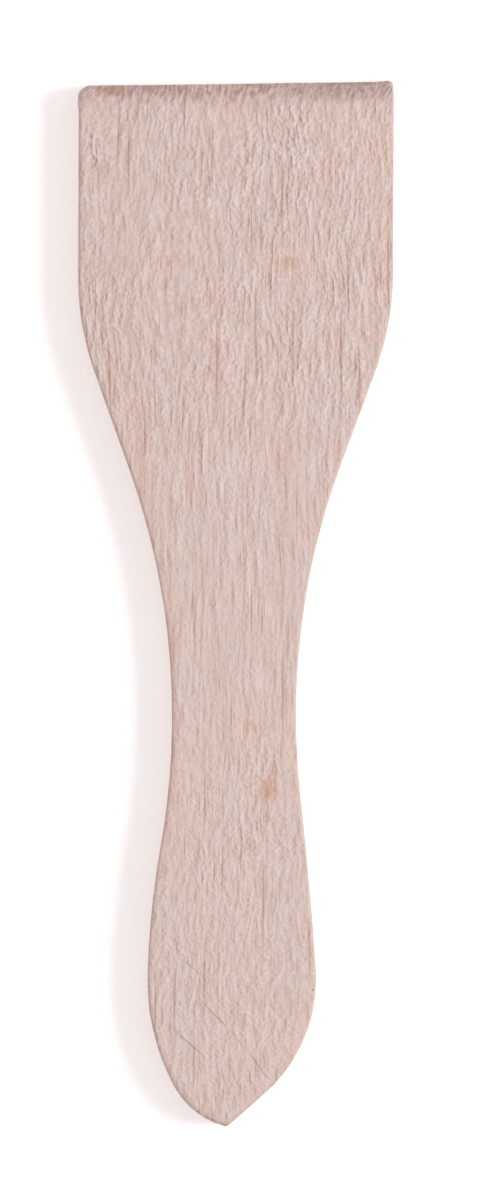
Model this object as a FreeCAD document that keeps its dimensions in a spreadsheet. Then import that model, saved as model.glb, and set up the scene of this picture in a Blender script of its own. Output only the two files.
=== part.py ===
"""A clay modelling spatula, cut in one piece from a beech board.

It lies flat with its length along Y: the square blade points to +Y, the pointed heel of the
handle to -Y.  The origin is under the middle of the outline, on the face that it rests on.
"""
import FreeCAD, Part
import math
import os
import Sketcher

NODE = "beech_spatula"
LEFT = -1
RIGHT = 1
ORIGIN_POINT = (-1, 1)
CENTRE = 3
TOLERANCE = 1e-4

# Every driving dimension, in millimetres and degrees: its name, its value and what it is.
# The outline was sawn and sanded by hand, so the two flanks differ by a few tenths.
SIZES = (
    ("board_thickness", 5.0, "thickness of the planed board"),
    ("blade_left", 19.6, "middle line to the left edge of the blade, at the shoulder"),
    ("blade_right", 19.55, "middle line to the right edge of the blade, at the shoulder"),
    ("blade_lean", 0.3, "degrees by which both blade edges lean to the right"),
    ("end_left", 64.45, "height of the end's left corner; the end isn't quite square"),
    ("end_right", 65.0, "height of the end's right corner"),
    ("shoulder_radius", 35.0, "round of both shoulders, where the blade starts to narrow"),
    ("shoulder_left", 40.5, "height of the left shoulder's start"),
    ("shoulder_right", 41.0, "height of the right shoulder's start"),
    ("waist_down", 14.1, "narrowest place of the waist, below the origin"),
    ("waist_radius", 91.0, "long hollow of both flanks at the waist"),
    ("waist_left", 7.9, "middle line to the left flank at the waist"),
    ("waist_right", 7.5, "middle line to the right flank at the waist"),
    ("grip_left_radius", 106.0, "gentle swell from the waist into the left of the handle"),
    ("grip_right_radius", 480.0, "nearly straight swell into the right of the handle"),
    ("bulb_down", 46.8, "widest place of the handle, below the origin"),
    ("bulb_left", 11.0, "middle line to the left flank at the handle's widest"),
    ("bulb_right", 10.0, "middle line to the right flank at the handle's widest"),
    ("bulb_left_radius", 28.0, "round of the handle's left side"),
    ("bulb_right_radius", 18.7, "round of the handle's right side"),
    ("heel_radius", 10.3, "round that brings the left flank to the heel's point"),
    ("heel_aside", 1.1, "heel's point, left of the middle line"),
    ("heel_down", 65.05, "heel's point, below the origin"),
    ("left_corner_radius", 1.4, "left corner of the blade's end, worn round"),
    ("right_corner_radius", 0.6, "right corner of the blade's end, left nearly sharp"),
    ("heel_point_radius", 0.6, "small round on the heel's point"),
    ("bevel_start", 63.0, "height at which the blade's bevel leaves the upper face"),
    ("bevel_angle", 58.0, "degrees by which the bevel falls from the upper face"),
    ("bevel_reach", 4.0, "how far the bevelling cut runs past its start"),
    ("bevel_break_radius", 3.2, "soft roll between the upper face and the bevel"),
    ("rim_radius", 0.3, "sanded round on every long edge"),
)


def make_sizes(doc):
    """Put the driving dimensions in a sheet, one to a row, each cell with its name."""
    sheet = doc.addObject("Spreadsheet::Sheet", "Sizes")
    for row, (name, value, meaning) in enumerate(SIZES, start=1):
        sheet.set(f"A{row}", meaning)
        sheet.set(f"B{row}", str(value))
        sheet.setAlias(f"B{row}", name)
    doc.recompute()
    return sheet


def new_sketch(body, name, role):
    """Start a sketch on one of the body's own origin planes."""
    plane = next(item for item in body.Origin.OriginFeatures if item.Role == role)
    sketch = body.newObject("Sketcher::SketchObject", name)
    sketch.AttachmentSupport = [(plane, "")]
    sketch.MapMode = "FlatFace"
    return sketch


def bind(sketch, formula, kind, *where):
    """Add a dimension whose value follows a formula of the sheet's names."""
    value = FreeCAD.Units.Quantity(sketch.evalExpression(formula))
    start = value.getValueAs("rad") if kind == "Angle" else value
    index = sketch.addConstraint(Sketcher.Constraint(kind, *where, start.Value))
    sketch.setExpression(f"Constraints[{index}]", formula)


def point(across, along):
    return FreeCAD.Vector(across, along, 0)


def upper_end(sketch, edge):
    """The end of an outline edge that is nearer to the blade."""
    return 1 if sketch.getPoint(edge, 1).y > sketch.getPoint(edge, 2).y else 2


def lower_end(sketch, edge):
    return 3 - upper_end(sketch, edge)


def place_across(sketch, side, edge, vertex, formula):
    """Set how far a point stands out from the middle line, on its own side of it."""
    ends = (*ORIGIN_POINT, edge, vertex) if side == RIGHT else (edge, vertex, *ORIGIN_POINT)
    bind(sketch, formula, "DistanceX", *ends)


def place_down(sketch, edge, vertex, formula):
    """Set how far a point lies below the origin."""
    bind(sketch, formula, "DistanceY", edge, vertex, *ORIGIN_POINT)


def lay_out_flank(sketch, sizes, side, name):
    """Lay out one flank as lines and arcs, from the blade's edge down to the heel's point.

    These points only start the solver near its answer, so their offsets are rough.
    """
    blade = sizes.get(f"blade_{name}")
    waist = sizes.get(f"waist_{name}")
    bulb = sizes.get(f"bulb_{name}")
    shoulder_up = sizes.get(f"shoulder_{name}")
    waist_up = -sizes.waist_down
    bulb_up = -sizes.bulb_down

    end_corner = point(side * blade, sizes.get(f"end_{name}"))
    shoulder_top = point(side * blade, shoulder_up)
    shoulder_middle = point(side * (blade - 0.6), shoulder_up - 6)
    shoulder_foot = point(side * (blade - 2.2), shoulder_up - 12)
    waist_top = point(side * (waist + 5.6), waist_up + 31.5)
    waist_middle = point(side * waist, waist_up)
    waist_foot = point(side * (waist + 0.9), waist_up - 13)
    grip_middle = point(side * (waist + bulb) / 2, (waist_up + bulb_up) / 2)
    bulb_top = point(side * bulb, bulb_up + 1)
    bulb_middle = point(side * (bulb - 0.7), bulb_up - 6)
    bulb_foot = point(side * bulb * 0.6, bulb_up - 13)
    heel_middle = point(-bulb * 0.4, bulb_up - 16.5)
    heel = point(-sizes.heel_aside, -sizes.heel_down)

    pieces = [
        Part.LineSegment(shoulder_top, end_corner),
        Part.Arc(shoulder_top, shoulder_middle, shoulder_foot),
        Part.LineSegment(shoulder_foot, waist_top),
        Part.Arc(waist_top, waist_middle, waist_foot),
        Part.Arc(waist_foot, grip_middle, bulb_top),
        Part.Arc(bulb_top, bulb_middle, bulb_foot),
    ]
    if side == LEFT:
        pieces.append(Part.Arc(bulb_foot, heel_middle, heel))
    else:
        pieces.append(Part.LineSegment(bulb_foot, heel))
    return [sketch.addGeometry(piece) for piece in pieces]


def draw_flank(sketch, sizes, side):
    """Draw one flank and settle every line and arc of it from the sheet."""
    name = "left" if side == LEFT else "right"
    flank = lay_out_flank(sketch, sizes, side, name)
    for above, below in zip(flank, flank[1:]):
        joint = (above, lower_end(sketch, above), below, upper_end(sketch, below))
        sketch.addConstraint(Sketcher.Constraint("Tangent", *joint))

    edge, shoulder, _, hollow, grip, bulb, last = flank
    bind(sketch, "90 deg - Sizes.blade_lean * 1 deg", "Angle", edge)
    bind(sketch, f"Sizes.end_{name}", "DistanceY", *ORIGIN_POINT, edge, upper_end(sketch, edge))
    place_across(sketch, side, edge, lower_end(sketch, edge), f"Sizes.blade_{name}")
    bind(sketch, f"Sizes.shoulder_{name}", "DistanceY", *ORIGIN_POINT, shoulder, CENTRE)
    place_down(sketch, hollow, CENTRE, "Sizes.waist_down")
    place_across(sketch, side, hollow, CENTRE, f"Sizes.waist_{name} + Sizes.waist_radius")
    place_down(sketch, bulb, CENTRE, "Sizes.bulb_down")
    past_middle = f"Sizes.bulb_{name}_radius - Sizes.bulb_{name}"
    place_across(sketch, -side, bulb, CENTRE, past_middle)

    bind(sketch, "Sizes.shoulder_radius", "Radius", shoulder)
    bind(sketch, "Sizes.waist_radius", "Radius", hollow)
    bind(sketch, f"Sizes.grip_{name}_radius", "Radius", grip)
    bind(sketch, f"Sizes.bulb_{name}_radius", "Radius", bulb)
    if side == LEFT:
        bind(sketch, "Sizes.heel_radius", "Radius", last)
    return flank


def draw_outline(sketch, sizes):
    """The whole plan outline: two flanks, the blade's end across the top, the heel's point."""
    left = draw_flank(sketch, sizes, LEFT)
    right = draw_flank(sketch, sizes, RIGHT)
    left_corner = sketch.getPoint(left[0], upper_end(sketch, left[0]))
    right_corner = sketch.getPoint(right[0], upper_end(sketch, right[0]))
    end = sketch.addGeometry(Part.LineSegment(left_corner, right_corner))
    joints = (
        (end, 1, left[0], upper_end(sketch, left[0])),
        (end, 2, right[0], upper_end(sketch, right[0])),
        (left[-1], lower_end(sketch, left[-1]), right[-1], lower_end(sketch, right[-1])),
    )
    for joint in joints:
        sketch.addConstraint(Sketcher.Constraint("Coincident", *joint))
    heel = (left[-1], lower_end(sketch, left[-1]))
    place_across(sketch, LEFT, *heel, "Sizes.heel_aside")
    place_down(sketch, *heel, "Sizes.heel_down")


def saw_blank(doc, body, sizes):
    """The board sawn to the outline, square to its faces."""
    outline = new_sketch(body, "Outline", "XY_Plane")
    draw_outline(outline, sizes)
    doc.recompute()
    blank = body.newObject("PartDesign::Pad", "Blank")
    blank.Profile = outline
    blank.setExpression("Length", "Sizes.board_thickness")
    doc.recompute()
    return blank


def upright_edge(feature, furthest):
    """The name of the upright edge whose place scores highest."""
    edges = enumerate(feature.Shape.Edges, start=1)
    upright = [(edge, number) for number, edge in edges if edge.BoundBox.ZLength > TOLERANCE]
    found = max(upright, key=lambda item: furthest(item[0].CenterOfMass))
    return f"Edge{found[1]}"


def round_edges(doc, body, name, base, edges, formula):
    """Round the named edges of the last feature."""
    fillet = body.newObject("PartDesign::Fillet", name)
    fillet.Base = (base, edges)
    fillet.setExpression("Radius", formula)
    doc.recompute()
    return fillet


def round_corners(doc, body, blank):
    """Round the three corners of the plan: two on the blade's end and the heel's point."""
    left = upright_edge(blank, lambda place: place.y - place.x)
    worn = round_edges(doc, body, "LeftCorner", blank, [left], "Sizes.left_corner_radius")
    right = upright_edge(worn, lambda place: place.y + place.x)
    sharp = round_edges(doc, body, "RightCorner", worn, [right], "Sizes.right_corner_radius")
    heel = upright_edge(sharp, lambda place: -place.y)
    return round_edges(doc, body, "HeelPoint", sharp, [heel], "Sizes.heel_point_radius")


def bevel_blade(doc, body, cornered, sizes):
    """Plane the bevel along the blade's end, right across the upper face."""
    sketch = new_sketch(body, "BevelSide", "YZ_Plane")
    reach = sizes.bevel_reach
    start = point(sizes.bevel_start, sizes.board_thickness)
    far = start + point(reach, 0)
    low = far - point(0, reach * math.tan(math.radians(sizes.bevel_angle)))
    top = sketch.addGeometry(Part.LineSegment(start, far))
    side = sketch.addGeometry(Part.LineSegment(far, low))
    slope = sketch.addGeometry(Part.LineSegment(low, start))
    for first, second in ((top, side), (side, slope), (slope, top)):
        sketch.addConstraint(Sketcher.Constraint("Coincident", first, 2, second, 1))
    sketch.addConstraint(Sketcher.Constraint("Horizontal", top))
    sketch.addConstraint(Sketcher.Constraint("Vertical", side))
    bind(sketch, "Sizes.bevel_start", "DistanceX", *ORIGIN_POINT, top, 1)
    bind(sketch, "Sizes.board_thickness", "DistanceY", *ORIGIN_POINT, top, 1)
    bind(sketch, "Sizes.bevel_reach", "DistanceX", top, 1, top, 2)
    fall = "Sizes.bevel_reach * tan(Sizes.bevel_angle * 1 deg)"
    bind(sketch, fall, "DistanceY", side, 2, side, 1)
    doc.recompute()

    bevel = body.newObject("PartDesign::Pocket", "Bevel")
    bevel.Profile = sketch
    bevel.Type = "ThroughAll"
    bevel.SideType = "Symmetric"
    doc.recompute()
    if bevel.Shape.Volume >= cornered.Shape.Volume:
        raise RuntimeError("the bevel cut nothing")
    return bevel


def level_edges(feature, height):
    """The feature's edges that lie level at a height, as (edge, name), longest first."""
    named = [(edge, f"Edge{number}") for number, edge in enumerate(feature.Shape.Edges, start=1)]
    level = [
        item
        for item in named
        if abs(item[0].BoundBox.ZMin - height) < TOLERANCE and item[0].BoundBox.ZLength < TOLERANCE
    ]
    return sorted(level, key=lambda item: -item[0].Length)


def roll_break(doc, body, bevel, sizes):
    """Roll the straight break between the upper face and the bevel."""
    top = level_edges(bevel, sizes.board_thickness)
    across = [name for edge, name in top if edge.BoundBox.YLength < TOLERANCE]
    return round_edges(doc, body, "BreakRoll", bevel, across[:1], "Sizes.bevel_break_radius")


def sand_rims(doc, body, rolled, sizes):
    """Round the upper and lower rims; each round runs on along its whole tangent loop."""
    upper = level_edges(rolled, sizes.board_thickness)[0][1]
    lower = level_edges(rolled, 0)[0][1]
    return round_edges(doc, body, "Rims", rolled, [upper, lower], "Sizes.rim_radius")


def make_spatula(doc, sizes):
    body = doc.addObject("PartDesign::Body", "Spatula")
    body.Label = NODE
    blank = saw_blank(doc, body, sizes)
    cornered = round_corners(doc, body, blank)
    bevel = bevel_blade(doc, body, cornered, sizes)
    rolled = roll_break(doc, body, bevel, sizes)
    sand_rims(doc, body, rolled, sizes)
    return body


def check(doc, body):
    """Stop if any feature failed or the solid isn't whole, and say what was made."""
    failed = [item.Name for item in doc.Objects if {"Invalid", "Error"} & set(item.State)]
    if failed:
        raise RuntimeError(f"failed features: {failed}")
    shape = body.Shape
    if shape.isNull() or not shape.isValid() or len(shape.Solids) != 1:
        raise RuntimeError(f"{body.Label} is not one sound solid")
    box = shape.optimalBoundingBox()
    print(f"{body.Label}: {len(shape.Faces)} faces, {shape.Volume:.0f} cubic mm")
    print(f"x {box.XMin:.2f} to {box.XMax:.2f}, y {box.YMin:.2f} to {box.YMax:.2f}")
    print(f"z {box.ZMin:.2f} to {box.ZMax:.2f}")


doc = FreeCAD.newDocument("Spatula")
spatula = make_spatula(doc, make_sizes(doc))
doc.recompute()
check(doc, spatula)
os.makedirs("parts", exist_ok=True)
spatula.Shape.exportStep(os.path.join("parts", f"{NODE}.step"))
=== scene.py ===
# %% [markdown]
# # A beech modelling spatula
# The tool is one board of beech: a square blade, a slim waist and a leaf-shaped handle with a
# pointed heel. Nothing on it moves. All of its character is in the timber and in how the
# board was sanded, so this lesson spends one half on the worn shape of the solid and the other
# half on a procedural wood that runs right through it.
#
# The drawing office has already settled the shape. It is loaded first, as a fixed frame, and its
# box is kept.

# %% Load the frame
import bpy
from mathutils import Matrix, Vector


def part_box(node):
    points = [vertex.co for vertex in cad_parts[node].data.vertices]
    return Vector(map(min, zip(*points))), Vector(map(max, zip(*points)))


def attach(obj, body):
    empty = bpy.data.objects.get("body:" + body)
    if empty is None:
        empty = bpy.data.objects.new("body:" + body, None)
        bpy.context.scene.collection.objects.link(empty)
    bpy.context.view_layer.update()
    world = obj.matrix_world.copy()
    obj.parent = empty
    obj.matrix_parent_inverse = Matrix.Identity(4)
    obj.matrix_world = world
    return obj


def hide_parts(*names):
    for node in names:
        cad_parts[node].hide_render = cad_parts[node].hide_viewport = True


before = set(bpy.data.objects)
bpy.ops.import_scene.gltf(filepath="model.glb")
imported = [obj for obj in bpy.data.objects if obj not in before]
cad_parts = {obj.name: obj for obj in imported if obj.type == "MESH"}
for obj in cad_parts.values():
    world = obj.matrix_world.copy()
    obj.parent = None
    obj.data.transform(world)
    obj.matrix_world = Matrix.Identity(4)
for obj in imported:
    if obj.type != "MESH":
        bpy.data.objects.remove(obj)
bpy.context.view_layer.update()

import math

import bmesh
import bpy
from mathutils import Vector, kdtree, noise
from mathutils.bvhtree import BVHTree

MM = 0.001
NODE = "beech_spatula"

lowest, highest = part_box(NODE)
size = highest - lowest
print(f"the board is {size.x / MM:.1f} x {size.y / MM:.1f} x {size.z / MM:.1f} mm")

# %% [markdown]
# ## The camera
# The tool lies flat and is looked at from straight above, from far enough away that neither
# end is nearer than the other. An orthographic camera would do that too, but it doesn't refit
# itself when the view turns, so a perspective camera with a very long lens stands in for it.
# The lens follows from three sizes: the sensor, the distance and the height to be seen.

# %% Hang the camera over the board
SENSOR_HEIGHT = 36.0
CAMERA_HEIGHT = 1200 * MM
VIEW_HEIGHT = 146.75 * MM
VIEW_ACROSS = 0.4 * MM
VIEW_ALONG = 1.6 * MM

lens = bpy.data.cameras.new("long_lens")
lens.sensor_fit = "VERTICAL"
lens.sensor_height = SENSOR_HEIGHT
lens.lens = SENSOR_HEIGHT * CAMERA_HEIGHT / VIEW_HEIGHT
camera = bpy.data.objects.new("camera", lens)
camera.location = (VIEW_ACROSS, VIEW_ALONG, highest.z + CAMERA_HEIGHT)
bpy.context.collection.objects.link(camera)
bpy.context.scene.camera = camera
print(f"a {lens.lens:.0f} mm lens sees {VIEW_HEIGHT / MM:.0f} mm of the table")

# %% [markdown]
# ## Colours by their hex codes
# People write colours as sRGB hex codes, but Blender's shaders add light up in linear numbers.
# One function turns the first into the second, and every colour below goes through it. The view
# transform is set to Standard, because the default one greys every pale colour.


# %% Turn a hex colour to linear
def linear(hex_colour):
    """An sRGB hex colour as linear red, green, blue and alpha."""
    parts = [int(hex_colour[i : i + 2], 16) / 255 for i in (0, 2, 4)]
    low = [part / 12.92 for part in parts]
    high = [((part + 0.055) / 1.055) ** 2.4 for part in parts]
    return [a if part <= 0.04045 else b for part, a, b in zip(parts, low, high)] + [1.0]


bpy.context.scene.view_settings.view_transform = "Standard"
print(f"middle grey 808080 is {linear('808080')[0]:.2f} in linear light")

# %% [markdown]
# ## The table
# The tool lies on a plain white table, far larger than the view. It glows softly, as a light
# table does, so that only a faint shadow is left on it. A matt surface with no gloss at all
# keeps the softbox from showing in it.

# %% Set the table
TABLE_SIDE = 3.0
TABLE_WHITE = "FBFBFB"
TABLE_ROUGHNESS = 0.9
TABLE_GLOW = 0.3

bpy.ops.mesh.primitive_plane_add(size=TABLE_SIDE)
table = bpy.context.object
table.name = "table"
paint = bpy.data.materials.new("table_white")
paint.use_nodes = True
table_shader = paint.node_tree.nodes["Principled BSDF"]
table_shader.inputs["Base Color"].default_value = linear(TABLE_WHITE)
table_shader.inputs["Roughness"].default_value = TABLE_ROUGHNESS
table_shader.inputs["Specular IOR Level"].default_value = 0.0
table_shader.inputs["Emission Color"].default_value = (1, 1, 1, 1)
table_shader.inputs["Emission Strength"].default_value = TABLE_GLOW
table.data.materials.append(paint)
print(f"a table of {TABLE_SIDE:.0f} m, glowing at {TABLE_GLOW:.0%} of white")

# %% [markdown]
# ## Sky and softbox
# Raised grain only shows when light rakes across it. One broad softbox stands to the right of
# the board, low enough to rake, and a pale sky fills what it leaves in shade. The two are
# balanced so that together they show a level white surface as just white: then a material
# shows the colour that it was given. The sky is a little warm and the softbox a little cool, by
# amounts that cancel on level surfaces, so the shade on the wood stays warm.

# %% Light the table
SKY_SHARE = 0.62
SKY_TINT = (1.04, 0.985, 0.975, 1)
SOFTBOX_SHARE = 0.38
SOFTBOX_SIDE = 0.35
SOFTBOX_DISTANCE = 0.9
SOFTBOX_ELEVATION = math.radians(40)

sky = bpy.data.worlds.new("pale_sky")
sky.use_nodes = True
sky.node_tree.nodes["Background"].inputs["Strength"].default_value = SKY_SHARE
sky.node_tree.nodes["Background"].inputs["Color"].default_value = SKY_TINT
bpy.context.scene.world = sky

towards = Vector((math.cos(SOFTBOX_ELEVATION), 0, math.sin(SOFTBOX_ELEVATION)))
softbox = bpy.data.lights.new("softbox", "AREA")
softbox.size = SOFTBOX_SIDE
softbox.color = [(1 - SKY_SHARE * tint) / SOFTBOX_SHARE for tint in SKY_TINT[:3]]
# A white surface that faces a small softbox shows power / (pi * distance)^2, and a level one
# shows the sine of the softbox's elevation of that.
softbox.energy = SOFTBOX_SHARE * (math.pi * SOFTBOX_DISTANCE) ** 2 / towards.z
lamp = bpy.data.objects.new("softbox", softbox)
lamp.location = towards * SOFTBOX_DISTANCE
lamp.rotation_euler = towards.to_track_quat("Z", "Y").to_euler()
bpy.context.collection.objects.link(lamp)
print(f"softbox of {softbox.energy:.1f} W, {math.degrees(SOFTBOX_ELEVATION):.0f} degrees up")

# %% [markdown]
# ## The board's skin
# The frame's mesh has large flat triangles, which can't carry dents or a hand-sanded wave. A
# voxel remesh turns the board into small even quads. Wood relief is long and narrow, so quads
# that are longer than they are wide carry it best: the copy is squeezed along the grain,
# remeshed with cubes and stretched back. Cubes leave steps on rounded rims, so every point is
# then laid back on the nearest place of the frame's own surface.

# %% Remesh a copy of the board
QUAD_WIDTH = 0.21 * MM
QUAD_STRETCH = 2.5
SAME_PLACE = 0.001 * MM

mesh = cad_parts[NODE].data.copy()
mesh.materials.clear()
shape = bmesh.new()
shape.from_mesh(mesh)
bmesh.ops.remove_doubles(shape, verts=shape.verts, dist=SAME_PLACE)
true_surface = BVHTree.FromBMesh(shape)
bmesh.ops.scale(shape, vec=(1, 1 / QUAD_STRETCH, 1), verts=shape.verts)
shape.to_mesh(mesh)
shape.free()

spatula = bpy.data.objects.new("sanded_spatula", mesh)
bpy.context.collection.objects.link(spatula)
remesh = spatula.modifiers.new("remesh", "REMESH")
remesh.mode = "VOXEL"
remesh.voxel_size = QUAD_WIDTH
remesh.use_smooth_shade = True
remeshed = spatula.evaluated_get(bpy.context.evaluated_depsgraph_get())
spatula.data = bpy.data.meshes.new_from_object(remeshed)
spatula.modifiers.clear()

shape = bmesh.new()
shape.from_mesh(spatula.data)
bmesh.ops.scale(shape, vec=(1, QUAD_STRETCH, 1), verts=shape.verts)
for vert in shape.verts:
    vert.co = true_surface.find_nearest(vert.co)[0]
bmesh.ops.recalc_face_normals(shape, faces=shape.faces)
shape.to_mesh(spatula.data)
shape.free()
print(f"{len(spatula.data.polygons)} quads, each about {QUAD_WIDTH / MM:.2f} mm wide")

# %% [markdown]
# ## How near each point is to the rim
# Sandpaper and fingers work most on the arrises, the sharp lines where the upper and lower faces
# meet the sides. The wood there is rounder, smoother and warmer in colour, in a band only a few
# tenths of a millimetre wide; that warmer, darker colour is partly wear and partly painted shade
# that dims the light caught by the rounded rims. Both the shape and the finish need to know how
# near a point is to such a line. A search tree of the points on the upright sides tells how far
# inside the outline a point is, and its height tells how far it is from a face. The answer is
# stored on the mesh as an attribute that the material can read: 1 on the line, fading with
# distance.

# %% Measure the distance to the arrises
SIDE_SLOPE = 0.5
RIM_REACH = 0.22 * MM

points = spatula.data.vertices
sides = [point for point in points if abs(point.normal.z) < SIDE_SLOPE]
tree = kdtree.KDTree(len(sides))
for index, point in enumerate(sides):
    tree.insert((point.co.x, point.co.y, 0), index)
tree.balance()

rim = spatula.data.attributes.new("rim", "FLOAT", "POINT")
for point in points:
    inward = tree.find((point.co.x, point.co.y, 0))[2]
    level = min(highest.z - point.co.z, point.co.z)
    rim.data[point.index].value = math.exp(-math.hypot(inward, level) / RIM_REACH)
print(f"{len(sides)} of {len(points)} points are on the upright sides")

# %% [markdown]
# ## Sanding by hand
# No hand-sanded board is quite flat. Two things run all over it, a few hundredths of a
# millimetre deep: long shallow waves from the sanding block, and raised grain that runs with
# the length. Two more reach a tenth of a millimetre in small places: low spots along the
# arrises, and chatter where the belt that cut the bevel bit into the face. Two corners of the
# blade are a touch out of line. The underside stays flat, because the tool rests on it. A
# smooth noise gives all the waves; sculpting them by hand would look no better and couldn't be
# repeated.

# %% Push the sanding marks into the solid
BLOCK_WAVE = (9 * MM, 14 * MM, 9 * MM)
BLOCK_DEPTH = 0.035 * MM
RAISED_GRAIN = (0.9 * MM, 5 * MM, 0.9 * MM)
RAISED_DEPTH = 0.018 * MM
RIM_WAVE = (2.5 * MM, 3.5 * MM, 2.5 * MM)
RIM_DEPTH = 0.10 * MM
CHATTER = (0.8 * MM, 0.9 * MM, 0.8 * MM)
CHATTER_DEPTH = 0.10 * MM
CHATTER_MIDDLE = highest.y - 2.3 * MM
CHATTER_REACH = 1.6 * MM
FLAT_BELOW = 0.1 * MM
RAISED_ABOVE = 0.8 * MM
# The blade's corners: a burr left standing on the right, a slight swelling on the left. Each
# has its middle, its reach and its push, all in millimetres.
CORNERS = (
    ((19.2, 65.1), 1.7, (-0.05, 0.18)),
    ((-19.6, 62.6), 2.0, (-0.15, 0.0)),
)


def wave(place, cell):
    """A smooth noise from about -1 to 1 whose lumps are one cell in size."""
    return noise.noise(Vector(place[i] / cell[i] for i in range(3)))


def ease(value, start, end):
    """0 at start, 1 at end, smooth between and level beyond."""
    share = min(max((value - start) / (end - start), 0), 1)
    return share * share * (3 - 2 * share)


moves = []
for point in points:
    near_rim = rim.data[point.index].value
    near_break = ease(abs(point.co.y - CHATTER_MIDDLE), CHATTER_REACH, 0)
    depth = BLOCK_DEPTH * wave(point.co, BLOCK_WAVE)
    depth += RAISED_DEPTH * wave(point.co, RAISED_GRAIN)
    depth += RIM_DEPTH * near_rim * wave(point.co, RIM_WAVE)
    depth += CHATTER_DEPTH * near_break * wave(point.co, CHATTER)
    move = point.normal * depth
    for middle, reach, push in CORNERS:
        away = (point.co.xy - Vector(middle) * MM).length
        move += Vector((*push, 0)) * MM * ease(away / MM, reach, 0)
    moves.append(move * ease(point.co.z, FLAT_BELOW, RAISED_ABOVE))
for point, move in zip(points, moves):
    point.co += move
print(f"the sanding moved a point by up to {max(move.length for move in moves) / MM:.2f} mm")

# %% [markdown]
# ## The timber
# The material is steamed beech, sawn so that its broad faces are nearly tangential, and
# sanded bare. What the eye gets from it:
#
# * a pale pinkish brown that drifts between pink and grey,
# * raised, slightly fuzzy grain: ripples under a millimetre wide and two or more long,
# * ray flecks, the thin dark reddish spindles that give beech away,
# * darker, mottled end grain wherever the fibres are cut across,
# * no gloss.
#
# All of it is a solid pattern on Object coordinates, so it runs over the rims and down the
# sides without a seam. The cell that follows holds the one helper that adds a node, two more
# that give a pattern its real size, and the four things that the patterns read: a place in the
# board, how far along the length it lies, and how far the surface there faces the ends or up.
# From here on, a size that isn't multiplied by MM is still in plain millimetres.


# %% Start the beech and its helpers
def add(kind, inputs, output=0, **settings):
    """Add a shader node, set or link its inputs, and give back one of its outputs."""
    node = wood.nodes.new("ShaderNode" + kind)
    for name, value in settings.items():
        setattr(node, name, value)
    for name, value in inputs.items():
        if isinstance(value, bpy.types.NodeSocket):
            wood.links.new(value, node.inputs[name])
        else:
            node.inputs[name].default_value = value
    return node.outputs[output]


def per_cell(across, along, deep):
    """The Mapping scale that makes a pattern's cell this many millimetres in size."""
    return (1 / (across * MM), 1 / (along * MM), 1 / (deep * MM))


def lumps(space, cell, detail=0.0, roughness=0.5):
    """A smooth noise with lumps of one cell, from 0 to 1 but mostly near a half."""
    scaled = add("Mapping", {"Vector": space, "Scale": per_cell(*cell)})
    looks = {"Vector": scaled, "Scale": 1.0, "Detail": detail, "Roughness": roughness}
    return add("TexNoise", looks)


# The noise seldom goes outside these two values.
LUMPS_LOW = 0.3
LUMPS_HIGH = 0.7

beech = bpy.data.materials.new("bare_sanded_beech")
beech.use_nodes = True
wood = beech.node_tree

place = add("TexCoord", {}, "Object")
along_length = add("SeparateXYZ", {"Vector": place}, "Y")
normal = add("TexCoord", {}, "Normal")
facing_end = add("SeparateXYZ", {"Vector": normal}, "Y")
facing_end = add("Math", {0: facing_end}, operation="ABSOLUTE")
facing_up = add("SeparateXYZ", {"Vector": normal}, "Z")
facing_up = add("Math", {0: facing_up}, operation="ABSOLUTE")
print(f"{beech.name} starts with {len(wood.nodes)} nodes")

# %% [markdown]
# ## Grain that wanders
# Fibres in a board are never ruler-straight. Each pattern could be bent on its own, but they
# would cross. Instead the coordinates are pushed sideways by a slow noise before any pattern is
# drawn, so they all lean and wander together. Long marks show a bend more than short ones, so
# they read a second, straighter set of coordinates, which gets only a fifth of the push.
#
# The raised grain is shorter on the handle than on the blade. Below the handle's top the first
# set of coordinates is stretched along the length, which shortens every mark drawn on it.

# %% Bend the grain
WANDER_CELL = (12, 14, 12)
WANDER = 4.5
STRAIGHTNESS = 0.2
HANDLE_TOP = -20
SHORTER = 0.3

slow = lumps(place, WANDER_CELL, detail=2.0, roughness=0.32)
slow = add("Math", {0: slow, 1: 0.5}, operation="SUBTRACT")
wander = add("Math", {0: slow, 1: WANDER * MM}, operation="MULTIPLY")

below = add("Math", {0: along_length, 1: HANDLE_TOP * MM}, operation="SUBTRACT")
below = add("Math", {0: below, 1: 0.0}, operation="MINIMUM")
stretch = add("Math", {0: below, 1: SHORTER}, operation="MULTIPLY")

bend = add("CombineXYZ", {"X": wander, "Y": stretch})
grain = add("VectorMath", {0: place, 1: bend}, operation="ADD")
slight = {0: bend, 1: (STRAIGHTNESS, 0, 0), 2: place}
straight = add("VectorMath", slight, operation="MULTIPLY_ADD")
print(f"below {HANDLE_TOP} mm a mark has {1 / (1 + SHORTER):.0%} of its length")

# %% [markdown]
# ## Ripples of raised grain
# Sanding leaves the hard fibres of beech standing in low ripples, about half a millimetre wide
# and two long. Along the waist they are partly combed into straighter ones, more than twice as
# long. A smooth noise stretched along the grain draws each sort; geometry this fine would take
# millions of faces, so bump shows it later. It is kept as a height in millimetres, because it
# will drive both bump and colour: dust and shade collect in the valleys.

# %% Draw the ripples
RIPPLE_CELL = (0.62, 1.9, 0.6)
RIPPLE_HEIGHT = 0.20
COMBED_CELL = (0.6, 4.5, 0.6)
COMBED_HEIGHT = 0.27
COMBED_SHARE = 0.55
WAIST_MIDDLE = 3
WAIST_REACH = 26

ripple = lumps(grain, RIPPLE_CELL)
ripple = add("Math", {0: ripple, 1: 0.5}, operation="SUBTRACT")
ripple = add("Math", {0: ripple, 1: RIPPLE_HEIGHT}, operation="MULTIPLY")
combed = lumps(straight, COMBED_CELL)
combed = add("Math", {0: combed, 1: 0.5}, operation="SUBTRACT")
combed = add("Math", {0: combed, 1: COMBED_HEIGHT}, operation="MULTIPLY")

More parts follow.
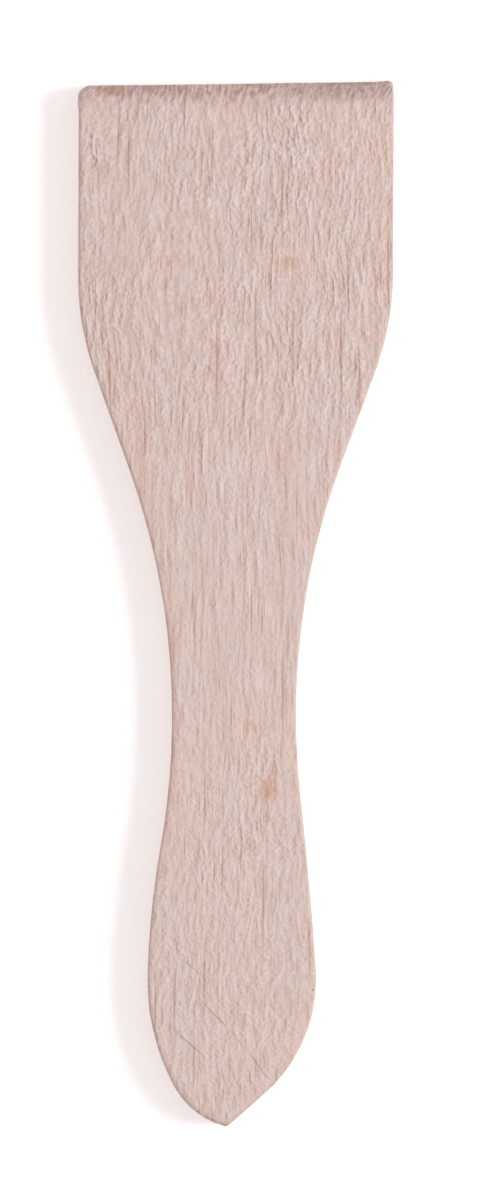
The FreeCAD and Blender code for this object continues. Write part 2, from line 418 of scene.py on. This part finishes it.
waist = add("Math", {0: along_length, 1: WAIST_MIDDLE * MM}, operation="SUBTRACT")
waist = add("Math", {0: waist}, operation="ABSOLUTE")
waist = add(
    "MapRange",
    {
        "Value": waist,
        "From Min": WAIST_REACH * MM,
        "From Max": WAIST_REACH / 2 * MM,
        "To Max": COMBED_SHARE,
    },
    interpolation_type="SMOOTHSTEP",
)
# A Mix node's sockets 2 and 3 are the two numbers that it mixes.
ripple = add("Mix", {0: waist, 2: ripple, 3: combed})
print(f"ripples {RIPPLE_CELL[0]} by {RIPPLE_CELL[1]} mm, combed ones {COMBED_CELL[1]} mm long")

# %% [markdown]
# ## Fuzz and fine lines
# Over the ripples lies a finer fuzz of torn fibres, thinner where the grain is combed, and a few
# straight lines are cut into both, where softer wood of the early season has worn. Real fibres
# and pores are under a tenth of a millimetre wide, too fine to show from here, so the fuzz is
# drawn several times as coarse. A line is where a stretched noise crosses its middle value.

# %% Add the fuzz and the lines
FUZZ_CELL = (0.43, 0.52, 0.42)
FUZZ_HEIGHT = 0.14
COMBED_FUZZ = 0.6
LINE_CELL = (0.8, 11.0, 1.5)
LINE_WIDTH = 0.045
LINE_DEPTH = 0.015

lines = lumps(straight, LINE_CELL, detail=1.0)
lines = add("Math", {0: lines, 1: 0.5}, operation="SUBTRACT")
lines = add("Math", {0: lines}, operation="ABSOLUTE")
thin = {"Value": lines, "From Min": LINE_WIDTH, "From Max": 0.0}
lines = add("MapRange", thin, interpolation_type="SMOOTHSTEP")

fuzz = lumps(grain, FUZZ_CELL)
fuzz = add("Math", {0: fuzz, 1: 0.5}, operation="SUBTRACT")
thinner = {"Value": waist, "To Min": FUZZ_HEIGHT, "To Max": FUZZ_HEIGHT * COMBED_FUZZ}
fuzz = add("Math", {0: fuzz, 1: add("MapRange", thinner)}, operation="MULTIPLY")

relief = add("Math", {0: lines, 1: -LINE_DEPTH, 2: fuzz}, operation="MULTIPLY_ADD")
relief = add("Math", {0: ripple, 1: relief}, operation="ADD")
print(f"fuzz {FUZZ_CELL[0]} mm wide, {len(wood.nodes)} nodes so far")

# %% [markdown]
# ## Rough blade, smooth handle
# Wet clay raises the grain of a blade and the hand rubs a handle smooth, and here too the blade
# is the rougher of the two. The relief's height is multiplied by a factor that changes from one
# to the other along the waist, and by a slow noise, because no board is equally rough all over.

# %% Vary the relief from place to place
BLADE_RELIEF = 1.12
BLADE_FROM = 25
HANDLE_RELIEF = 0.83
HANDLE_FROM = -10
VIGOUR_CELL = (5, 8, 5)
LEAST_VIGOUR = 0.8
MOST_VIGOUR = 1.2

strength = add(
    "MapRange",
    {
        "Value": along_length,
        "From Min": HANDLE_FROM * MM,
        "From Max": BLADE_FROM * MM,
        "To Min": HANDLE_RELIEF,
        "To Max": BLADE_RELIEF,
    },
)
relief = add("Math", {0: relief, 1: strength}, operation="MULTIPLY")
vigour = add(
    "MapRange",
    {
        "Value": lumps(place, VIGOUR_CELL, detail=1.0),
        "From Min": LUMPS_LOW,
        "From Max": LUMPS_HIGH,
        "To Min": LEAST_VIGOUR,
        "To Max": MOST_VIGOUR,
    },
)
relief = add("Math", {0: relief, 1: vigour}, operation="MULTIPLY")
print(f"the blade's relief is {BLADE_RELIEF / HANDLE_RELIEF:.2f} times the handle's")

# %% [markdown]
# ## Ray flecks
# A Voronoi texture scatters one point in every cell. In a space that is squeezed along the
# grain, a small disc round each point comes out as a spindle, and the cell's own random colour
# decides how large that spindle is. Two sizes of cell give the many short rays and the few
# long ones. The pattern has no depth of its own, so it would run down the sides as upright
# bars; real rays are faint there, and these fade as the surface turns upright.

# %% Scatter the rays
# Each sort of ray: its cell across and along in millimetres, the disc's radius in cells at
# its largest, and how dark it is.
RAY_SORTS = (
    (0.65, 9.0, 0.20, 0.42),
    (1.2, 42.0, 0.15, 0.6),
)
RAY_TIP = 1.3
RAY_CORE = 0.3
RAYS_ON_SIDES = 0.2
RAYS_WHOLE_FROM = 0.8

rays = None
for across, along, radius, darkness in RAY_SORTS:
    spread = add("Mapping", {"Vector": straight, "Scale": per_cell(across, along, 1)})
    dots = {"Vector": spread, "Scale": 1.0, "Randomness": 1.0}
    away = add("TexVoronoi", dots, "Distance", voronoi_dimensions="2D")
    chance = add("TexVoronoi", dots, "Color", voronoi_dimensions="2D")
    chance = add("SeparateXYZ", {"Vector": chance}, "X")
    edge = add("Math", {0: chance, 1: radius}, operation="MULTIPLY")
    spindle = add("Math", {0: away, 1: edge}, operation="DIVIDE")
    fade = {"Value": spindle, "From Min": RAY_TIP, "From Max": RAY_CORE, "To Max": darkness}
    spindle = add("MapRange", fade, interpolation_type="SMOOTHSTEP")
    rays = spindle if rays is None else add("Math", {0: rays, 1: spindle}, operation="MAXIMUM")
    print(f"rays up to {2 * radius * along:.1f} mm long")

upward = {"Value": facing_up, "From Max": RAYS_WHOLE_FROM, "To Min": RAYS_ON_SIDES}
rays = add("Math", {0: rays, 1: add("MapRange", upward)}, operation="MULTIPLY")

# %% [markdown]
# ## End grain
# Where a surface faces along the length, the saw cut across the fibres. Open fibre ends drink
# light and hold dust, so end grain is darker than the face, and mottled. How far a surface
# faces along the length says how much of it is end grain.
#
# The belt that cut the bevel also tore short strokes into it, which lean to one side and take
# the raised grain's place there. The steep faces at the blade's end and the heel were only
# touched with fine paper, so their strokes and their mottle are quieter.

# %% Find the end grain and stroke it
END_STARTS = 0.1
END_WHOLE = 0.85
MOTTLE_CELL = (0.7, 1.0, 1.0)
STROKE_CELL = (0.44, 1.3, 3.5)
STROKE_LEAN = math.radians(19)
STROKE_HEIGHT = 0.40
QUIET = 0.35
QUIET_BELOW = 0.4

ends = {"Value": facing_end, "From Min": END_STARTS, "From Max": END_WHOLE}
end_grain = add("MapRange", ends, interpolation_type="SMOOTHSTEP")
mottle = lumps(place, MOTTLE_CELL, detail=2.0)

leaning = add("VectorRotate", {"Vector": grain, "Angle": STROKE_LEAN}, rotation_type="Z_AXIS")
strokes = lumps(leaning, STROKE_CELL, detail=1.0, roughness=0.4)
strokes = add("Math", {0: strokes, 1: 0.5}, operation="SUBTRACT")
marked = add("MapRange", {"Value": facing_up, "From Max": QUIET_BELOW, "To Min": QUIET})
stroke_height = add("Math", {0: marked, 1: STROKE_HEIGHT}, operation="MULTIPLY")
stroke_relief = add("Math", {0: strokes, 1: stroke_height}, operation="MULTIPLY")
relief = add("Mix", {0: end_grain, 2: relief, 3: stroke_relief})
print(f"strokes {STROKE_CELL[0]} mm wide lean {math.degrees(STROKE_LEAN):.0f} degrees")

# %% [markdown]
# ## Single marks
# Noise can't put a mark where this board has one, so three kinds are listed one by one. Stains
# are small and reddish with thin tails, and greyer marks darken the blade's end; the darkest of
# them, on the right, is painted shade on the bevel's shaded lower rim. Some places are rougher or
# smoother than the rest. Scratches are the sanding marks across the lower handle, and the nicks
# near the blade's end and its left side.

# %% List the single marks
# Each stain, or mark of painted shade: millimetres across and along, half its width and length,
# strength, colour.
STAINS_AND_SHADE_MARKS = (
    (4.0, -23.2, 1.8, 2.0, 0.9, "CC9C84"),
    (4.8, -20.9, 0.45, 1.8, 0.8, "BC8A70"),
    (3.9, -26.0, 0.35, 2.0, 0.65, "BC8A70"),
    (1.8, -15.3, 1.3, 1.1, 0.6, "CFA084"),
    (6.6, 42.4, 1.8, 1.1, 0.8, "CBA086"),
    (7.4, -18.6, 0.35, 1.7, 0.8, "C08560"),
    (-15.4, 63.8, 2.6, 1.0, 0.6, "AE6A5A"),
    (-10.6, 63.9, 1.6, 0.8, 0.5, "B4776A"),
    # These four darken the blade's end; the third of them is painted shade.
    (-11.0, 64.4, 9.5, 0.9, 0.35, "8F736C"),
    (3.0, 64.7, 9.5, 0.9, 0.35, "8F736C"),
    # Painted shade: a dark line along the shaded lower rim of the bevel on the right.
    (13.8, 64.9, 6.0, 0.7, 0.65, "7E6763"),
    (12.5, 63.9, 9.0, 2.0, 0.35, "A89189"),
    (9.6, -48.0, 0.20, 0.3, 0.8, "7E5A50"),
)
# Each rough place: millimetres across and along, half its width and length, and how many
# times as rough as the rest it is.
ROUGH_PLACES = (
    (-17.4, 56.3, 1.8, 4.0, 1.7),
    (5.5, 54.5, 6.0, 9.5, 1.3),
    (-11.5, 48.0, 8.0, 17.0, 0.8),
)
# Each scratch: where it starts, where it ends, in millimetres, and its strength.
SCRATCHES = (
    ((-8.1, -52.7), (-3.7, -56.6), 0.70),
    ((-4.2, -49.5), (-1.1, -52.8), 0.80),
    ((-1.3, -52.6), (1.8, -56.0), 0.45),
    ((1.5, -55.7), (3.9, -59.1), 0.95),
    ((-9.2, -40.7), (-5.4, -43.6), 0.40),
    ((-7.3, -43.6), (-3.0, -47.4), 0.50),
    ((-1.6, -40.3), (1.8, -45.0), 0.40),
    ((3.4, -49.0), (6.6, -52.6), 0.35),
    ((-0.3, 64.0), (-0.9, 62.6), 1.00),
    ((-1.1, 62.7), (-1.4, 61.3), 0.70),
    ((-13.4, 62.8), (-12.7, 63.8), 0.70),
    ((-17.9, 58.8), (-18.1, 57.8), 0.80),
    ((-17.5, 57.4), (-17.3, 55.7), 0.80),
    ((-17.2, 55.2), (-17.8, 53.9), 0.70),
)
print(f"{len(STAINS_AND_SHADE_MARKS)} stains, {len(ROUGH_PLACES)} rough places, {len(SCRATCHES)} scratches")

# %% [markdown]
# ## Marks as ellipses
# Every mark is a soft ellipse. A Mapping node of the texture type lays it out: it puts the
# mark's middle at the origin and its edge at a distance of one, whatever its size and turn, so
# the length of the mapped coordinates is all that the mask needs. Rough places and scratches
# belong to the relief and are drawn now. The stains wait for the colours.

# %% Draw the rough places and the scratches
# How deep below the upper face a mark still shows, in millimetres.
STAIN_REACHES = 8.0
SCRATCH_REACHES = 4.0
# Half a scratch's width in millimetres.
SCRATCH_WIDTH = 0.2
# A scratch fades towards its ends, so the ellipse's half length is a little over half of the
# scratch's own length.
SCRATCH_HALF = 0.65
# The share of a mark's radius that has its full strength.
STAIN_CORE = 0.35
ROUGH_CORE = 0.3
SCRATCH_CORE = 0.2


def ellipse(across, along, half_sizes, turn, core):
    """A mask of one mark: 1 in its core, 0 past its edge."""
    middle = (across * MM, along * MM, highest.z)
    radii = [half * MM for half in half_sizes]
    laid = {"Vector": place, "Location": middle, "Rotation": (0, 0, turn), "Scale": radii}
    local = add("Mapping", laid, vector_type="TEXTURE")
    away = add("VectorMath", {0: local}, "Value", operation="LENGTH")
    fade = {"Value": away, "From Min": 1.0, "From Max": core}
    return add("MapRange", fade, interpolation_type="SMOOTHSTEP")


for across, along, width, length, rougher in ROUGH_PLACES:
    patch = ellipse(across, along, (width, length, STAIN_REACHES), 0, ROUGH_CORE)
    gain = add("MapRange", {"Value": patch, "To Min": 1.0, "To Max": rougher})
    relief = add("Math", {0: relief, 1: gain}, operation="MULTIPLY")

scratch = None
for start, end, strength in SCRATCHES:
    across, along = (Vector(start) + Vector(end)) / 2
    run = Vector(end) - Vector(start)
    turn = math.atan2(run.y, run.x) + math.pi / 2
    half_sizes = (SCRATCH_WIDTH, SCRATCH_HALF * run.length, SCRATCH_REACHES)
    mark = ellipse(across, along, half_sizes, turn, SCRATCH_CORE)
    mark = add("Math", {0: mark, 1: strength}, operation="MULTIPLY")
    scratch = mark if scratch is None else add("Math", {0: scratch, 1: mark}, operation="MAXIMUM")
print(f"the single marks bring the beech to {len(wood.nodes)} nodes")

# %% [markdown]
# ## Colour of the timber
# The colours are laid on in the order in which they got there, each over the last by a share.
# First comes the timber's own drift between pink and grey, with redder streaks along it. Then the
# relief: valleys are darker, partly from dust and partly as painted shade, and crests are lighter
# as a painted highlight. Then the thin lines and the rays.

# %% Lay the timber's colours on
PINK_BEECH = "DDC5BD"
GREY_BEECH = "D9C5BE"
PATCH_CELL = (5, 17, 5)
STREAK = "D6B3A5"
STREAK_CELL = (1.5, 45, 4)
STREAK_SHARE = 0.38
STREAK_STARTS = 0.5
STREAK_WHOLE = 0.8
# Painted shade and dust: the valleys of the relief are darkened with this colour.
VALLEY_DUST_AND_SHADE = "CBA395"
VALLEY_DUST_AND_SHADE_SHARE = 0.25
VALLEY_STARTS = 0.01
VALLEY_WHOLE = -0.04
# Painted highlight: the crests of the relief are lightened with this colour.
PAINTED_CREST_HIGHLIGHT = "EBDCD6"
PAINTED_CREST_HIGHLIGHT_SHARE = 0.35
CREST_STARTS = 0.03
CREST_WHOLE = 0.07
LINE = "C99E8F"
LINE_SHARE = 0.25
RAY = "AB7B6B"


def layer(under, over, share):
    """Lay one colour over another by a share from 0 to 1."""
    # A Mix node's sockets 6 and 7 are the two colours that it mixes, and output 2 is theirs.
    return add("Mix", {0: share, 6: under, 7: over}, 2, data_type="RGBA")


patch = lumps(grain, PATCH_CELL, detail=2.0)
patch = add("MapRange", {"Value": patch, "From Min": LUMPS_LOW, "From Max": LUMPS_HIGH})
colour = layer(linear(GREY_BEECH), linear(PINK_BEECH), patch)

streak = lumps(straight, STREAK_CELL, detail=1.0)
redder = {"Value": streak, "From Min": STREAK_STARTS, "From Max": STREAK_WHOLE}
streak = add("MapRange", {**redder, "To Max": STREAK_SHARE})
colour = layer(colour, linear(STREAK), streak)

# Painted shade and dust: the valleys of the relief are darkened.
low = {"Value": relief, "From Min": VALLEY_STARTS, "From Max": VALLEY_WHOLE}
valley_dust_and_shade = add("MapRange", {**low, "To Max": VALLEY_DUST_AND_SHADE_SHARE})
colour = layer(colour, linear(VALLEY_DUST_AND_SHADE), valley_dust_and_shade)
# Painted highlight: the crests of the relief are lightened.
high = {"Value": relief, "From Min": CREST_STARTS, "From Max": CREST_WHOLE}
painted_crest_highlight = add("MapRange", {**high, "To Max": PAINTED_CREST_HIGHLIGHT_SHARE})
colour = layer(colour, linear(PAINTED_CREST_HIGHLIGHT), painted_crest_highlight)

line_share = add("Math", {0: lines, 1: LINE_SHARE}, operation="MULTIPLY")
colour = layer(colour, linear(LINE), line_share)
colour = layer(colour, linear(RAY), rays)
print(f"the face drifts from {GREY_BEECH} to {PINK_BEECH}")

# %% [markdown]
# ## Colour of the sides and the ends
# The saw left the sides coarser than the faces, so they hold more dust and are browner; that
# browner colour is also painted shade that dims the light falling on the upright sides. Their
# grain shows as long streaks. End grain has no streaks: its tone follows the strokes and the
# mottle, and it is laid over the face's and the sides' colours alike.

# %% Colour the sides and the end grain
# Partly dust, partly painted shade: the upright sides are made browner with this colour.
SIDE_DUST_AND_SHADE = "C49C8C"
SIDE_CELL = (3, 16, 0.5)
SIDE_DUST_AND_SHADE_SHARE = 0.65
SIDE_LEAST = 0.4
SIDE_STREAK_STARTS = 0.35
SIDE_STREAK_WHOLE = 0.65
SIDE_STARTS = 0.7
SIDE_WHOLE = 0.2
END_GRAIN = "D4BAB3"
END_GRAIN_DARK = "AF8E86"
END_DARKEST = 0.3
END_PALEST = 0.65
QUIET_TONE = 0.6

side = lumps(straight, SIDE_CELL, detail=1.0)
streaky = {"Value": side, "From Min": SIDE_STREAK_STARTS, "From Max": SIDE_STREAK_WHOLE}
side = add("MapRange", {**streaky, "To Min": SIDE_LEAST})
turning = {"Value": facing_up, "From Min": SIDE_STARTS, "From Max": SIDE_WHOLE}
# Partly dust, partly painted shade: the sides grow browner as the surface turns upright.
side_dust_and_shade_share = add("MapRange", {**turning, "To Max": SIDE_DUST_AND_SHADE_SHARE})
side = add("Math", {0: side, 1: side_dust_and_shade_share}, operation="MULTIPLY")
colour = layer(colour, linear(SIDE_DUST_AND_SHADE), side)

end_tone = add("Math", {0: strokes, 1: mottle}, operation="ADD")
tones = {"Value": end_tone, "From Min": END_DARKEST, "From Max": END_PALEST}
end_tone = add("Mix", {0: marked, 2: QUIET_TONE, 3: add("MapRange", tones)})
end_colour = layer(linear(END_GRAIN_DARK), linear(END_GRAIN), end_tone)
colour = layer(colour, end_colour, end_grain)
print(f"end grain goes from {END_GRAIN_DARK} to {END_GRAIN}")

# %% [markdown]
# ## Colour of the wear and of painted shade
# Last come the marks of making and use: the arrises are burnished to a warmer brown, which is
# partly painted shade that dims the light caught by the rounded rims, and the scratches hold a
# little dirt. The stains are broken up by the same mottle as the end grain, so that they look
# soaked in and not painted on, and so is the painted shade on the bevel's lower rim that is
# listed among them.

# %% Lay the wear on
# Partly wear, partly painted shade: the arrises are darkened to this warmer brown.
BURNISH_AND_RIM_SHADE = "BC9484"
BURNISH_AND_RIM_SHADE_SHARE = 0.6
SCRATCH = "9C7A6D"
SCRATCH_SHARE = 0.5
SOAKED_STARTS = 0.38
SOAKED_WHOLE = 0.62
SOAKED_LEAST = 0.35

near_rim = add("Attribute", {}, "Fac", attribute_name="rim")
# Partly wear, partly painted shade: the arrises are darkened, which dims the light on the rounded
# rims.
burnish_and_rim_shade = add("Math", {0: near_rim, 1: BURNISH_AND_RIM_SHADE_SHARE}, operation="MULTIPLY")
colour = layer(colour, linear(BURNISH_AND_RIM_SHADE), burnish_and_rim_shade)

soaking = {"Value": mottle, "From Min": SOAKED_STARTS, "From Max": SOAKED_WHOLE}
stain_and_shade_mottle = add("MapRange", {**soaking, "To Min": SOAKED_LEAST})
# One of these marks is painted shade on the bevel's lower rim, laid on like the stains.
for across, along, width, length, strength, tint in STAINS_AND_SHADE_MARKS:
    mark = ellipse(across, along, (width, length, STAIN_REACHES), 0, STAIN_CORE)
    mark = add("Math", {0: mark, 1: strength}, operation="MULTIPLY")
    mark = add("Math", {0: mark, 1: stain_and_shade_mottle}, operation="MULTIPLY")
    colour = layer(colour, linear(tint), mark)

scratch_share = add("Math", {0: scratch, 1: SCRATCH_SHARE}, operation="MULTIPLY")
colour = layer(colour, linear(SCRATCH), scratch_share)
print(f"the arrises are burnished to {BURNISH_AND_RIM_SHADE} within {RIM_REACH / MM:.2f} mm")

# %% [markdown]
# ## Relief and sheen
# The Bump node takes the height in metres, so its distance turns our millimetres into them
# and the slopes come out true. The rays and scratches are cut a little into the surface. Bare
# timber has the usual refractive index of wood, near 1.5. Sanded and unwaxed it is rough all
# over, with only a weak broad sheen where light rakes it, and the burnished arrises are a
# touch smoother.

# %% Finish the surface
RAY_DEPTH = 0.012
SCRATCH_DEPTH = 0.045
WOOD_IOR = 1.5
MATT = 0.65
BURNISHED = 0.55

height = add("Math", {0: rays, 1: -RAY_DEPTH, 2: relief}, operation="MULTIPLY_ADD")
height = add("Math", {0: scratch, 1: -SCRATCH_DEPTH, 2: height}, operation="MULTIPLY_ADD")
bump = add("Bump", {"Height": height, "Distance": MM, "Strength": 1.0})
roughness = add("MapRange", {"Value": near_rim, "To Min": MATT, "To Max": BURNISHED})

shader = wood.nodes["Principled BSDF"]
shader.inputs["IOR"].default_value = WOOD_IOR
wood.links.new(colour, shader.inputs["Base Color"])
wood.links.new(roughness, shader.inputs["Roughness"])
wood.links.new(bump, shader.inputs["Normal"])
spatula.data.materials.append(beech)
print(f"the beech has {len(wood.nodes)} nodes")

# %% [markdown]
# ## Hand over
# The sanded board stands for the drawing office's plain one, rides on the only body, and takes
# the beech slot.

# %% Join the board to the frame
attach(spatula, "root")
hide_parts(NODE)
